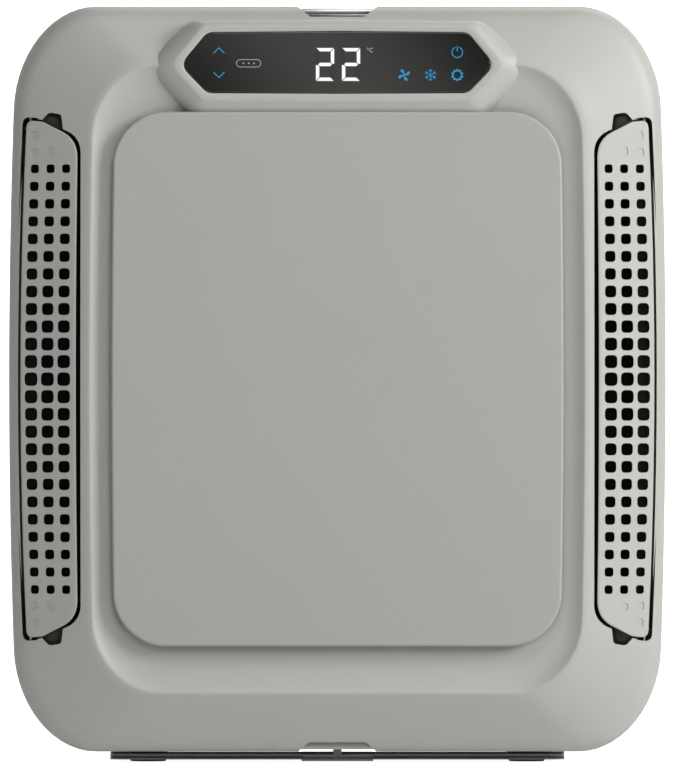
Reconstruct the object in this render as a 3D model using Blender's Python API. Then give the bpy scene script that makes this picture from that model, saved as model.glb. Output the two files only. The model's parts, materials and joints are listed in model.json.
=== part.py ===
"""Portable air conditioner, standing on a floor.

Frame: X to the right, Y to the back, Z up. The origin is on the floor under the middle of the machine.
Rows of sizes are in millimetres and are turned into metres where meshes are made.
"""

import math

import bmesh
import bpy
from mathutils import Matrix, Vector

MM = 0.001
GAP = 0.4

# Front shell
SHELL_W = 450.0
SHELL_H = 509.0
SHELL_BOTTOM = 8.0
SHELL_TOP = SHELL_BOTTOM + SHELL_H
SHELL_Z = SHELL_BOTTOM + SHELL_H / 2
SHELL_BACK = -60.0
RIDGE_Y = -141.0
WALL = 2.6

# Rear casing
CASE_W = 444.0
CASE_BOTTOM = 12.0
CASE_TOP = 506.0
CASE_Z = (CASE_TOP + CASE_BOTTOM) / 2
REAR_Y = 131.0

# Front panel
PANEL_W = 308.0
PANEL_H = 364.0
PANEL_FRONT = -145.0
PANEL_THICK = 6.0

# Display
LENS_FRONT = -146.0
LENS_Z = 478.3
LENS_W = 215.5
LENS_FLAT = 177.5
LENS_H = 42.0
FLARE = 16.6
FLARE_TOP = 8.6

# Outlet grilles
GRILLE_IN = 180.0
GRILLE_OUT = 216.8
GRILLE_TOP = 438.6
GRILLE_BOTTOM = 86.2
GRILLE_THICK = 2.6
GRILLE_SLOPE = math.atan2(16.0, 38.5)
HOLE_ROWS = 25
HOLE_COLUMNS = 3
HOLE_PITCH_Z = 11.95
HOLE_PITCH_U = 12.2
HOLE_SIDE = 7.4
GRILLE_AXIS = (6.0, -5.2)

# Handles
BAIL_HALF = 156.0
BAIL_FRONT = -57.0
GRIP_HALF = 24.6
HANDLE_AXIS = (55.0, 510.6)
STAND_AXIS = (45.0, 4.3)

# Air side
FAN_Z = 262.0
FAN_R = 95.0
COLLAR_Z = 385.0
COLLAR_R = 75.0

COLOURS = {
    "shell": ((0.50, 0.50, 0.47), 0.45, 0.0),
    "casing": ((0.42, 0.42, 0.40), 0.5, 0.0),
    "panel": ((0.46, 0.46, 0.43), 0.42, 0.0),
    "black": ((0.02, 0.02, 0.02), 0.5, 0.0),
    "glass": ((0.02, 0.02, 0.025), 0.08, 0.0),
    "grip": ((0.6, 0.6, 0.6), 0.3, 0.6),
    "steel": ((0.6, 0.6, 0.62), 0.35, 1.0),
    "copper": ((0.72, 0.38, 0.2), 0.3, 1.0),
    "fins": ((0.7, 0.72, 0.74), 0.4, 1.0),
    "white": ((0.75, 0.75, 0.73), 0.5, 0.0),
    "rubber": ((0.03, 0.03, 0.03), 0.8, 0.0),
    "board": ((0.05, 0.25, 0.12), 0.5, 0.0),
}


def clear_scene():
    for old in list(bpy.data.objects):
        bpy.data.objects.remove(old, do_unlink=True)


def collection(name, hidden):
    made = bpy.data.collections.new(name)
    made.hide_render = hidden
    bpy.context.scene.collection.children.link(made)
    return made


def material(kind):
    made = bpy.data.materials.get(kind)
    if made:
        return made
    colour, roughness, metallic = COLOURS[kind]
    made = bpy.data.materials.new(kind)
    made.use_nodes = True
    shader = made.node_tree.nodes["Principled BSDF"]
    shader.inputs["Base Color"].default_value = (*colour, 1.0)
    shader.inputs["Roughness"].default_value = roughness
    shader.inputs["Metallic"].default_value = metallic
    return made


clear_scene()
PARTS = collection("portable_air_conditioner", False)
CUTTERS = collection("cutters", True)


def finish(name, bm, kind, place=(0, 0, 0)):
    """Writes a bmesh drawn in millimetres around its own origin as an object at that place. No kind: a cutter."""
    bmesh.ops.scale(bm, vec=(MM, MM, MM), verts=bm.verts)
    mesh = bpy.data.meshes.new(name)
    bm.normal_update()
    bm.to_mesh(mesh)
    bm.free()
    made = bpy.data.objects.new(name, mesh)
    made.location = Vector(place) * MM
    (PARTS if kind else CUTTERS).objects.link(made)
    if kind:
        mesh.materials.append(material(kind))
    else:
        made.hide_render = True
        made.display_type = "WIRE"
    return made


def modify(made, operation, cutter):
    modifier = made.modifiers.new(operation.lower(), "BOOLEAN")
    modifier.operation = operation
    modifier.object = cutter
    return made


def cut(made, *cutters):
    for cutter in cutters:
        modify(made, "DIFFERENCE", cutter)
    return made


def join(made, *others):
    for other in others:
        modify(made, "UNION", other)
    return made


def box(name, kind, x, y, z, bevel=0.0):
    """A box between pairs of limits, with its object at its middle."""
    middle = [(low + high) / 2 for low, high in (x, y, z)]
    size = [high - low for low, high in (x, y, z)]
    bm = bmesh.new()
    bmesh.ops.create_cube(bm, size=1.0, matrix=Matrix.Diagonal((*size, 1)))
    if bevel:
        bmesh.ops.bevel(bm, geom=bm.edges[:], offset=bevel, segments=1, profile=0.5, affect="EDGES")
    return finish(name, bm, kind, middle)


def rod(name, kind, centre, radius, length, axis, sides=24, bevel=0.0, second=None):
    """A cylinder, or a cone when a second radius is given, along X, Y or Z."""
    bm = bmesh.new()
    bmesh.ops.create_cone(
        bm,
        cap_ends=True,
        segments=sides,
        radius1=radius,
        radius2=radius if second is None else second,
        depth=length,
    )
    if bevel:
        rims = [edge for edge in bm.edges if abs(edge.verts[0].co.z - edge.verts[1].co.z) < 1e-6]
        bmesh.ops.bevel(bm, geom=rims, offset=bevel, segments=2, profile=0.5, affect="EDGES")
    turn = {"X": Matrix.Rotation(math.pi / 2, 3, "Y"), "Y": Matrix.Rotation(-math.pi / 2, 3, "X")}
    if axis in turn:
        bmesh.ops.rotate(bm, matrix=turn[axis], verts=bm.verts)
    return finish(name, bm, kind, centre)


def ring(name, kind, centre, profile, steps=40):
    """A turned ring about a Y axis: profile is a closed loop of (radius, y) points around the wall."""
    bm = bmesh.new()
    loops = []
    for step in range(steps):
        angle = 2 * math.pi * step / steps
        loops.append([bm.verts.new((r * math.cos(angle), y, r * math.sin(angle))) for r, y in profile])
    for step in range(steps):
        bridge(bm, loops[step], loops[(step + 1) % steps])
    bmesh.ops.recalc_face_normals(bm, faces=bm.faces)
    return finish(name, bm, kind, centre)


def bridge(bm, first, second):
    count = len(first)
    for i in range(count):
        j = (i + 1) % count
        bm.faces.new((first[i], first[j], second[j], second[i]))


def prism(name, kind, outline, y, bevel=0.0):
    """A front-view outline of (x, z) points, carried from one depth to another."""
    bm = bmesh.new()
    near = [bm.verts.new((px, y[0], pz)) for px, pz in outline]
    far = [bm.verts.new((px, y[1], pz)) for px, pz in outline]
    bm.faces.new(near)
    bm.faces.new(far[::-1])
    bridge(bm, near, far)
    bmesh.ops.recalc_face_normals(bm, faces=bm.faces)
    if bevel:
        front = [e for e in bm.edges if all(abs(v.co.y - y[0]) < 1e-6 for v in e.verts)]
        bmesh.ops.bevel(bm, geom=front, offset=bevel, segments=2, profile=0.5, affect="EDGES")
    return finish(name, bm, kind)


def slab(name, kind, outline, z):
    """A plan-view outline of (x, y) points, carried from one height to another."""
    bm = bmesh.new()
    low = [bm.verts.new((px, py, z[0])) for px, py in outline]
    high = [bm.verts.new((px, py, z[1])) for px, py in outline]
    bm.faces.new(low)
    bm.faces.new(high[::-1])
    bridge(bm, low, high)
    bmesh.ops.recalc_face_normals(bm, faces=bm.faces)
    return finish(name, bm, kind)


def pipe(name, kind, points, radius):
    """A bent tube through hand-placed points, its corners rounded by short arcs."""
    rounded = [Vector(points[0])]
    for before, corner, after in zip(points, points[1:], points[2:]):
        before, corner, after = Vector(before), Vector(corner), Vector(after)
        reach = min(2.5 * radius, (before - corner).length / 2.2, (after - corner).length / 2.2)
        start = corner + (before - corner).normalized() * reach
        end = corner + (after - corner).normalized() * reach
        for step in range(4):
            t = step / 3
            rounded.append((1 - t) ** 2 * start + 2 * t * (1 - t) * corner + t**2 * end)
    rounded.append(Vector(points[-1]))
    curve = bpy.data.curves.new(name, "CURVE")
    curve.dimensions = "3D"
    curve.bevel_depth = radius * MM
    curve.bevel_resolution = 1
    curve.use_fill_caps = True
    spline = curve.splines.new("POLY")
    spline.points.add(len(rounded) - 1)
    for point, place in zip(spline.points, rounded):
        point.co = (*(place * MM), 1.0)
    made = bpy.data.objects.new(name, curve)
    curve.materials.append(material(kind))
    PARTS.objects.link(made)
    return made


def rounded_outline(half_w, half_h, corner_x, corner_z, bulge, middle_z, steps=6):
    """A rectangle with elliptical corners whose upright sides bulge outwards between them."""
    points = []
    for quarter in range(4):
        sign_x = 1 if quarter in (0, 3) else -1
        sign_z = 1 if quarter in (0, 1) else -1
        arc = []
        for step in range(steps + 1):
            angle = math.pi / 2 * step / steps
            x = half_w - corner_x + corner_x * math.cos(angle)
            z = half_h - corner_z + corner_z * math.sin(angle)
            arc.append((x, z))
        arc = [(half_w, (half_h - corner_z) * 0.45)] + arc
        if sign_x * sign_z < 0:
            arc.reverse()
        points += [(sign_x * x, sign_z * z) for x, z in arc]
    shaped = []
    for x, z in points:
        share = x / half_w
        shaped.append((x - bulge * share * (z / half_h) ** 2, z + middle_z))
    return shaped


def profile_normals(rows):
    """Unit normals in the (width, depth) plane of each row, pointing out of the wall."""
    found = []
    for i, row in enumerate(rows):
        before = rows[max(i - 1, 0)]
        after = rows[min(i + 1, len(rows) - 1)]
        run = Vector((after[0] - before[0], after[2] - before[2])).normalized()
        found.append(Vector((-run.y, run.x)))
    return found


def loft_shell(name, kind, rows, wall, closed_back):
    """A wall swept round rounded rectangles. Each row is half width, half height, depth, corner x, corner z, bulge
    and middle height, from the outer rim. With closed_back the last row is capped to make a bucket."""
    outer = [(row[:3], row[3:]) for row in rows]
    inwards = wall if closed_back else -wall
    inner = []
    for ((half_w, half_h, y), shape), normal in zip(outer, profile_normals([row[:3] for row in rows])):
        shift = inwards * normal
        inner.append(((half_w + shift.x, half_h + shift.x, y + shift.y), shape))
    if closed_back:
        half_w, half_h, y = rows[-1][:3]
        inner[-1] = ((half_w - wall, half_h - wall, y - wall), inner[-1][1])
    bm = bmesh.new()
    loops = []
    for (half_w, half_h, y), (corner_x, corner_z, bulge, middle_z) in outer + inner[::-1]:
        outline = rounded_outline(half_w, half_h, corner_x, corner_z, bulge, middle_z)
        loops.append([bm.verts.new((x, y, z)) for x, z in outline])
    last = len(rows) - 1
    for i in range(len(loops)):
        if closed_back and i == last:
            continue
        bridge(bm, loops[i], loops[(i + 1) % len(loops)])
    if closed_back:
        bm.faces.new(loops[last])
        bm.faces.new(loops[last + 1][::-1])
    bmesh.ops.recalc_face_normals(bm, faces=bm.faces)
    return finish(name, bm, kind)


def mirrored(outline):
    return [(-x, z) for x, z in outline[::-1]]


def hexagon(grow, grow_top=None):
    """The display's outline, larger by grow all round, or by grow_top along its upper edge."""
    tip = LENS_W / 2 + grow * 1.15
    flat = LENS_FLAT / 2 + grow * 0.55
    high = LENS_H / 2 + (grow if grow_top is None else grow_top)
    low = -LENS_H / 2 - grow
    points = [(tip, 0), (flat, high), (-flat, high), (-tip, 0), (-flat, low), (flat, low)]
    return [(x, z + LENS_Z) for x, z in points]


def end_drops():
    """How far a grille's short ends fall away: pairs of the distance in from its outer edge, and the drop there."""
    width = GRILLE_OUT - GRILLE_IN
    return [(0.0, 7.0), (3.5, 0.0), (width - 14, 7.0), (width - 4, 14.0), (width, 26.0)]


def end_drop(inward):
    pairs = end_drops()
    for (near, near_drop), (far, far_drop) in zip(pairs, pairs[1:]):
        if inward <= far:
            share = max(0.0, inward - near) / (far - near)
            return near_drop + share * (far_drop - near_drop)
    return pairs[-1][1]


def grille_opening(grow):
    """The right-hand opening that an outlet grille closes, larger by grow all round."""
    middle_x = (GRILLE_IN + GRILLE_OUT) / 2
    wider = 1 + 2 * grow / (GRILLE_OUT - GRILLE_IN)
    upper = []
    for inward, drop in end_drops():
        x = middle_x + (GRILLE_OUT - inward - middle_x) * wider
        upper.append((x, GRILLE_TOP + grow - drop))
    lower = [(x, GRILLE_TOP + GRILLE_BOTTOM - z) for x, z in upper[::-1]]
    return upper + lower


def pocket(top):
    """The right-hand finger pocket above or below a grille."""
    edge = GRILLE_TOP if top else GRILLE_BOTTOM
    way = 1 if top else -1
    return [
        (201.0, edge - 4 * way),
        (201.0, edge + 1.5 * way),
        (195.0, edge + 6 * way),
        (188.0, edge + 4.5 * way),
        (186.5, edge - 8 * way),
    ][:: -way]


def notch(top):
    """A trapezoid through the shell's rim that shows the grip behind it."""
    if top:
        return [(29.0, SHELL_TOP + 3), (19.0, SHELL_TOP - 7.4), (-19.0, SHELL_TOP - 7.4), (-29.0, SHELL_TOP + 3)]
    low = SHELL_BOTTOM
    return [(29.0, low - 3), (-29.0, low - 3), (-20.0, low + 6.8), (20.0, low + 6.8)]


def front_shell():
    outer = (54.7, 70.0, 6.0, SHELL_Z)
    ridge = (46.0, 50.0, 3.0, SHELL_Z - 1)
    dish = (38.0, 40.0, 2.0, SHELL_Z)
    half_w, half_h = SHELL_W / 2, SHELL_H / 2
    rows = [
        (half_w - 10, half_h - 15, SHELL_BACK, *outer),
        (half_w, half_h, SHELL_BACK, *outer),
        (half_w, half_h, -104.0, *outer),
        (half_w - 0.8, half_h - 0.8, -111.0, *outer),
        (half_w - 3.5, half_h - 3.2, -117.5, *outer),
        (half_w - 8.5, half_h - 7.7, -122.0, *outer),
        (half_w - 53.0, half_h - 38.5, RIDGE_Y + 0.8, *ridge),
        (half_w - 56.0, half_h - 41.0, RIDGE_Y, *ridge),
        (half_w - 59.5, half_h - 44.5, RIDGE_Y + 1.4, *ridge),
        (half_w - 70.0, half_h - 60.0, -133.0, *dish),
        (half_w - 82.0, half_h - 79.0, -130.0, *dish),
        (half_w - 97.0, half_h - 98.0, -128.5, *dish),
    ]
    shell = loft_shell("front_shell", "shell", rows, WALL, False)
    top_block = box("top_notch_block", None, (-33, 33), (-118.5, SHELL_BACK), (506.6, 512.4))
    low_block = box("low_notch_block", None, (-33, 33), (-118.5, SHELL_BACK), (12.6, 17.6))
    join(shell, top_block, low_block)
    cut(shell, prism("top_notch", None, notch(True), (-160, -50)), prism("low_notch", None, notch(False), (-160, -50)))
    for side, turn in (("right", list), ("left", mirrored)):
        opening = prism(f"{side}_outlet_cut", None, turn(grille_opening(1.6)), (-160, -100))
        upper = prism(f"{side}_upper_pocket", None, turn(pocket(True)), (-160, -100))
        lower = prism(f"{side}_lower_pocket", None, turn(pocket(False)), (-160, -100))
        cut(shell, opening, upper, lower)
    cut(shell, prism("display_cut", None, hexagon(FLARE + GAP, FLARE_TOP + GAP), (-160, -100)))


def rear_casing():
    shape = (50.0, 64.0, 4.0, CASE_Z)
    back = (44.0, 50.0, 2.0, CASE_Z)
    half_w, half_h = CASE_W / 2, (CASE_TOP - CASE_BOTTOM) / 2
    rows = [
        (half_w, half_h, SHELL_BACK + GAP, *shape),
        (half_w, half_h, 108.0, *shape),
        (half_w - 3, half_h - 3, 122.0, *shape),
        (half_w - 12, half_h - 12, REAR_Y, *back),
    ]
    casing = loft_shell("rear_casing", "casing", rows, WALL, True)
    through = (110, 150)
    cut(
        casing,
        rod("collar_cut", None, (0, 130, COLLAR_Z), COLLAR_R + 3.6, 40, "Y", 40),
        box("intake_cut", None, (-185.4, 185.4), through, (57.6, 252.4)),
        box("inlet_cut", None, (139.6, 170.4), through, (288.6, 313.4)),
        rod("spout_cut", None, (60, 130, 40), 8.4, 40, "Y", 20),
    )


def front_panel():
    outline = rounded_outline(PANEL_W / 2, PANEL_H / 2, 36, 36, 1.8, SHELL_Z)
    back = PANEL_FRONT + PANEL_THICK
    panel = prism("front_panel", "panel", outline, (PANEL_FRONT, back), 1.2)
    for side in (-1, 1):
        for level in (-1, 1):
            centre = (side * 105, (back - 1 - 124.6) / 2, SHELL_Z + level * 130)
            join(panel, rod(f"panel_post_{side}_{level}", None, centre, 5, -124.6 - back + 1, "Y", 12))


def air_filter():
    outline = rounded_outline(122, 150, 16, 16, 0, SHELL_Z, 3)
    frame = prism("filter_frame", "white", outline, (-124.2, -119.0))
    window = rounded_outline(116, 144, 12, 12, 0, SHELL_Z, 3)
    cut(frame, prism("filter_window", None, window, (-126, -117)))
    for x in (-58, 58):
        join(frame, box(f"filter_bar_{x}", None, (x - 2, x + 2), (-124.0, -122.2), (113, 412)))
    sheet = rounded_outline(115.5, 143.5, 12, 12, 0, SHELL_Z, 3)
    prism("filter_mesh", "black", sheet, (-121.8, -121.0))


def display():
    bm = bmesh.new()
    levels = [(6.0, 6.0, LENS_FRONT), (FLARE, FLARE_TOP, -131.5), (FLARE, FLARE_TOP, -117.0)]
    loops = [[bm.verts.new((x, y, z)) for x, z in hexagon(grow, top)] for grow, top, y in levels]
    bm.faces.new(loops[0])
    bm.faces.new(loops[-1][::-1])
    for first, second in zip(loops, loops[1:]):
        bridge(bm, first, second)
    bmesh.ops.recalc_face_normals(bm, faces=bm.faces)
    housing = finish("display_housing", bm, "shell")
    cut(
        housing,
        prism("lens_seat", None, hexagon(0.3), (-150, -143.4)),
        prism("board_space", None, hexagon(-3.0), (-148, -110)),
    )
    prism("display_glass", "glass", hexagon(-0.1), (LENS_FRONT + 0.3, -143.8))
    box("display_board", "board", (-80, 80), (-140.0, -138.2), (464, 493))


def grille_plane(u, w, z):
    """A point u inwards from the outer edge, w out of the plate's middle plane, on the right-hand grille."""
    across = Vector((-math.cos(GRILLE_SLOPE), -math.sin(GRILLE_SLOPE)))
    out = Vector((math.sin(GRILLE_SLOPE), -math.cos(GRILLE_SLOPE)))
    middle = Vector((GRILLE_OUT, -120.1)) + across * u + out * w
    return middle.x, middle.y, z


def outlet_grille(side):
    """A punched plate that turns on two pins at its outer edge."""
    sign = 1 if side == "right" else -1
    bm = bmesh.new()
    width = (GRILLE_OUT - GRILLE_IN) / math.cos(GRILLE_SLOPE)
    first_u = (width - HOLE_PITCH_U * (HOLE_COLUMNS - 1)) / 2
    middle = (GRILLE_TOP + GRILLE_BOTTOM) / 2
    half = HOLE_SIDE / 2
    across = [0.0, width]
    for column in range(HOLE_COLUMNS):
        centre = first_u + HOLE_PITCH_U * column
        across += [centre - half, centre + half]
    across.sort()
    up = [GRILLE_BOTTOM, GRILLE_TOP]
    for row in range(HOLE_ROWS):
        centre = middle + HOLE_PITCH_Z * (row - (HOLE_ROWS - 1) / 2)
        up += [centre - half, centre + half]
    up.sort()

    def height(u, z):
        """Shapes the plate's two short ends."""
        drop = end_drop(u * math.cos(GRILLE_SLOPE))
        if z == GRILLE_TOP:
            return z - drop
        return z + drop if z == GRILLE_BOTTOM else z

    grid = {}
    for w in (-GRILLE_THICK / 2, GRILLE_THICK / 2):
        for i, u in enumerate(across):
            for j, z in enumerate(up):
                x, y, z = grille_plane(u, w, height(u, z))
                grid[w > 0, i, j] = bm.verts.new((sign * x, y, z))
    columns, rows = len(across) - 1, len(up) - 1

    def solid(i, j):
        inside = 0 <= i < columns and 0 <= j < rows
        return inside and not (i % 2 == 1 and j % 2 == 1)

    for i in range(columns):
        for j in range(rows):
            if not solid(i, j):
                continue
            ring_of = [(i, j), (i + 1, j), (i + 1, j + 1), (i, j + 1)]
            bm.faces.new([grid[(True, *at)] for at in ring_of])
            bm.faces.new([grid[(False, *at)] for at in reversed(ring_of)])
            beyond = [(i, j - 1), (i + 1, j), (i, j + 1), (i - 1, j)]
            for edge, neighbour in enumerate(beyond):
                if not solid(*neighbour):
                    a, b = ring_of[edge], ring_of[(edge + 1) % 4]
                    bm.faces.new([grid[(True, *b)], grid[(True, *a)], grid[(False, *a)], grid[(False, *b)]])
    if sign < 0:
        bmesh.ops.reverse_faces(bm, faces=bm.faces)
    axis_x, axis_y, _ = grille_plane(GRILLE_AXIS[0], GRILLE_AXIS[1], 0)
    bmesh.ops.translate(bm, vec=(-sign * axis_x, -axis_y, 0), verts=bm.verts)
    bmesh.ops.recalc_face_normals(bm, faces=bm.faces)
    plate = finish(f"{side}_outlet_grille", bm, "shell", (sign * axis_x, axis_y, 0))
    for end, z, way in (("upper", GRILLE_TOP - 15, 1), ("lower", GRILLE_BOTTOM + 15, -1)):
        bearer = box(
            f"{side}_{end}_knuckle",
            None,
            tuple(sorted((sign * (axis_x - 2.6), sign * (axis_x + 2.6)))),
            (axis_y - 5.0, axis_y + 2.4),
            (z - 3, z + 3),
        )
        join(plate, bearer)
        pin_place = (sign * axis_x, axis_y, z + way * 10.4)
        rod(f"{side}_grille_pin_{end}", "steel", pin_place, 1.2, 14, "Z", 12)


def outlet_duct(side):
    sign = 1 if side == "right" else -1

    def across(low, high):
        return tuple(sorted((sign * low, sign * high)))

    duct = box(f"{side}_outlet_duct", "black", across(154.4, 210), (-110, -28), (96, 429))
    hollow = box(f"{side}_duct_hollow", None, across(156.6, 207.8), (-120, -30.2), (98.2, 426.8))
    mouth = box(f"{side}_duct_mouth", None, across(150, 160), (-77, -31), (112, 412))
    cut(duct, hollow, mouth)


def evaporator_side():
    coil = box("evaporator_coil", "fins", (-146, 146), (-112, -82), (84, 441))
    cut(coil, box("coil_step", None, (-150, 150), (-115, -108), (80, 88)))
    tray = box("condensate_tray", "white", (-145, 145), (-116, -79), (64, 83.2))
    cut(tray, box("tray_hollow", None, (-143, 143), (-114, -81), (66, 90)))
    housing = box("blower_housing", "black", (-149, 149), (-78.4, -28.4), (109, 415))
    inner = box("housing_inner", None, (-160, 160), (-76.4, -30.8), (111.4, 412.6))
    eye = rod("housing_eye", None, (0, -80, FAN_Z), 76, 12, "Y", 32)
    shaft_hole = rod("housing_shaft_hole", None, (0, -28, FAN_Z), 12, 12, "Y", 16)
    cut(housing, inner, eye, shaft_hole)
    impeller("evaporator_fan", 14)
    motor = rod("evaporator_fan_motor", "steel", (0, -16.6, FAN_Z), 44, 20, "Y", 28, 2)
    join(motor, rod("evaporator_motor_shaft", None, (0, -28.6, FAN_Z), 4, 11.2, "Y", 12))
    wall = prism("bulkhead", "white", rounded_outline(212, 236, 48, 60, 4, CASE_Z), (-4.5, -0.5))
    cut(
        wall,
        rod("suction_hole", None, (150, -2, 52), 5.5, 12, "Y", 12),
        rod("liquid_hole", None, (20, -2, 29), 3.2, 12, "Y", 12),
        rod("hose_hole", None, (60, -2, 40), 6.5, 12, "Y", 12),
    )


def impeller(name, blades):
    """A backward-curved wheel: one disc with straight blades that lean against the turn."""
    wheel = rod(name, "white", (0, -36, FAN_Z), FAN_R, 3, "Y", 32)
    bm = bmesh.new()
    for blade in range(blades):
        angle = 2 * math.pi * blade / blades
        made = bmesh.ops.create_cube(bm, size=1.0, matrix=Matrix.Diagonal((2.0, 36, 32, 1)))["verts"]
        bmesh.ops.rotate(bm, matrix=Matrix.Rotation(math.radians(38), 3, "Y"), verts=made)
        bmesh.ops.translate(bm, vec=(0, -18.5, FAN_R - 18), verts=made)
        bmesh.ops.rotate(bm, matrix=Matrix.Rotation(angle, 3, "Y"), verts=made)
    join(wheel, finish(f"{name}_blades", bm, None, (0, -36, FAN_Z)))


def axial_fan(name, centre, radius, blades):
    """A hub with twisted blades."""
    hub = rod(name, "black", centre, 25, 22, "Y", 20)
    bm = bmesh.new()
    for blade in range(blades):
        angle = 2 * math.pi * blade / blades
        length = radius - 20
        made = bmesh.ops.create_cube(bm, size=1.0, matrix=Matrix.Diagonal((22, 2.4, length, 1)))["verts"]
        for vert in made:
            if vert.co.z > 0:
                vert.co.x *= 1.7
            lean = 38 if vert.co.z < 0 else 24
            vert.co = Matrix.Rotation(math.radians(lean), 3, "Z") @ vert.co
        bmesh.ops.translate(bm, vec=(0, 0, 20 + length / 2), verts=made)
        bmesh.ops.rotate(bm, matrix=Matrix.Rotation(angle, 3, "Y"), verts=made)
    bmesh.ops.triangulate(bm, faces=bm.faces)
    join(hub, finish(f"{name}_blades", bm, None, centre))


def condenser_side():
    box("base_pan", "steel", (-165, 165), (-48, 104), (15.0, 17.0))
    body = rod("compressor", "black", (-105, 48, 111), 44, 156, "Z", 28, 12)
    foot = box("compressor_foot", None, (-165, -47), (18, 78), (29.8, 34.5))
    join(body, foot)
    for name, x, y in (("left", -156, 48), ("front", -56, 27), ("rear", -56, 69)):
        rod(f"compressor_grommet_{name}", "rubber", (x, y, 23.3), 6.5, 12.2, "Z", 14)
    box("condenser_coil", "fins", (-183, 183), (97, 121), (56, 256))
    axial_fan("condenser_fan", (0, 95, COLLAR_Z), 70, 5)
    motor = rod("condenser_fan_motor", "steel", (0, 62, COLLAR_Z), 32, 34, "Y", 24, 2)
    join(motor, rod("condenser_motor_shaft", None, (0, 79.5, COLLAR_Z), 3, 8, "Y", 12))
    bracket = box("motor_bracket", "steel", (-92, 92), (42.0, 44.6), (COLLAR_Z - 12, COLLAR_Z + 12))
    arms = [box(f"bracket_arm_{x}", None, (x - 2, x + 2), (43, 82), (COLLAR_Z - 12, COLLAR_Z + 12)) for x in (-90, 90)]
    join(bracket, *arms)
    ring("condenser_fan_shroud", "white", (0, 0, COLLAR_Z), [(78, 82.6), (96, 82.6), (96, 85), (81, 85), (81, 114), (78, 114)])
    collar = [
        (COLLAR_R, 115),
        (COLLAR_R + 3, 115),
        (COLLAR_R + 3, REAR_Y + GAP),
        (COLLAR_R + 12, REAR_Y + GAP),
        (COLLAR_R + 12, REAR_Y + 3),
        (COLLAR_R + 3, REAR_Y + 3),
        (COLLAR_R + 3, 146),
        (COLLAR_R, 146),
    ]
    ring("exhaust_collar", "casing", (0, 0, COLLAR_Z), collar)
    intake = box("intake_grille", "casing", (-185, 185), (REAR_Y - 3.5, REAR_Y - 0.5), (58, 252))
    for row in range(12):
        low = 66 + 15 * row
        for x in (-178, -88, 2, 92):
            cut(intake, box(f"intake_slot_{row}_{x}", None, (x, x + 84), (120, 140), (low, low + 9)))
    box("electronics_box", "white", (50, 190), (8, 60), (66, 186), 3)


def pipework():
    suction = [(146.5, -97, 150), (150.2, -97, 150), (150.2, -97, 58), (150.2, -88, 52), (150.2, 2, 52)]
    suction += [(140, 24, 56), (0, 40, 56), (-60.7, 48, 56)]
    pipe("suction_line", "copper", suction, 3.4)
    discharge = [(-105, 48, 189.4), (-105, 48, 212), (-105, 62, 225), (-105, 96.6, 225)]
    pipe("discharge_line", "copper", discharge, 3.0)
    pipe("liquid_line", "copper", [(20, 96.6, 226), (20, 50, 226), (20, 30, 210), (20, 30, 142.6)], 2.2)
    rod("filter_drier", "copper", (20, 30, 106), 9, 72, "Z", 14, 3)
    capillary = [(20, 30, 69.6), (20, 30, 34), (20, 22, 29), (20, -92, 29), (10, -97, 29), (-142, -97, 29)]
    capillary += [(-150.2, -97, 37), (-150.2, -97, 127), (-146.5, -97, 127)]
    pipe("capillary_tube", "copper", capillary, 1.6)
    pipe("condensate_hose", "rubber", [(60, -97, 63.5), (60, -97, 46), (60, -90, 40), (60, 114.5, 40)], 4.5)
    spout = [(3.6, 115), (7.6, 115), (7.6, REAR_Y + GAP), (11, REAR_Y + GAP), (11, 134), (6.4, 134), (6.4, 142), (3.6, 142)]
    ring("drain_spout", "casing", (60, 0, 40), spout, 20)
    plug = rod("drain_plug", "rubber", (60, 143.6, 40), 6, 2.4, "Y", 16)
    join(plug, rod("plug_stem", None, (60, 138.6, 40), 3.0, 9, "Y", 16))


def power_inlet():
    body = box("power_inlet", "black", (140, 170), (113, 132.4), (289, 313))
    cut(body, box("inlet_socket", None, (143, 167), (117, 140), (293, 309)))


def bail(name, z, axis, grip_y, grip_z, kind):
    """A U-shaped bar with a thicker grip in the middle, turning on an X axis at the ends of its two arms."""
    inner = BAIL_HALF - 7
    reach = axis[0] + 3
    outline = [
        (-BAIL_HALF, reach),
        (-BAIL_HALF, BAIL_FRONT + 8),
        (-BAIL_HALF + 4, BAIL_FRONT + 1.5),
        (-BAIL_HALF + 12, BAIL_FRONT),
        (BAIL_HALF - 12, BAIL_FRONT),
        (BAIL_HALF - 4, BAIL_FRONT + 1.5),
        (BAIL_HALF, BAIL_FRONT + 8),
        (BAIL_HALF, reach),
        (inner, reach),
        (inner, BAIL_FRONT + 12),
        (-inner, BAIL_FRONT + 12),
        (-inner, reach),
    ]
    outline = [(x, y - axis[0]) for x, y in outline]
    bar = slab(name, kind, outline, (z[0] - axis[1], z[1] - axis[1]))
    bar.location = (0, axis[0] * MM, axis[1] * MM)
    join(bar, box(f"{name}_grip", None, (-GRIP_HALF, GRIP_HALF), grip_y, grip_z, 1.2))


def handles():
    bail("carry_handle", (507.6, 513.6), HANDLE_AXIS, (-58.2, -43.5), (507.3, 516.8), "grip")
    bail("stand_bail", (1.6, 6.8), STAND_AXIS, (-58.2, -43.5), (0.4, 7.0), "black")
    lug_y = (STAND_AXIS[0] - 4, STAND_AXIS[0] + 4)
    for side, x in (("left", -145.2), ("right", 145.2)):
        rod(f"handle_pivot_{side}", "steel", (x, *HANDLE_AXIS), 4.0, 6.8, "X", 16)
        box(f"bail_pivot_{side}", "black", (x - 3.4, x + 3.4), lug_y, (0.8, 11.6), 0.8)
    box("bail_clip", "shell", (-2.9, 2.9), (-63.6, -60.4), (2.4, 14.4), 0.5)


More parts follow.
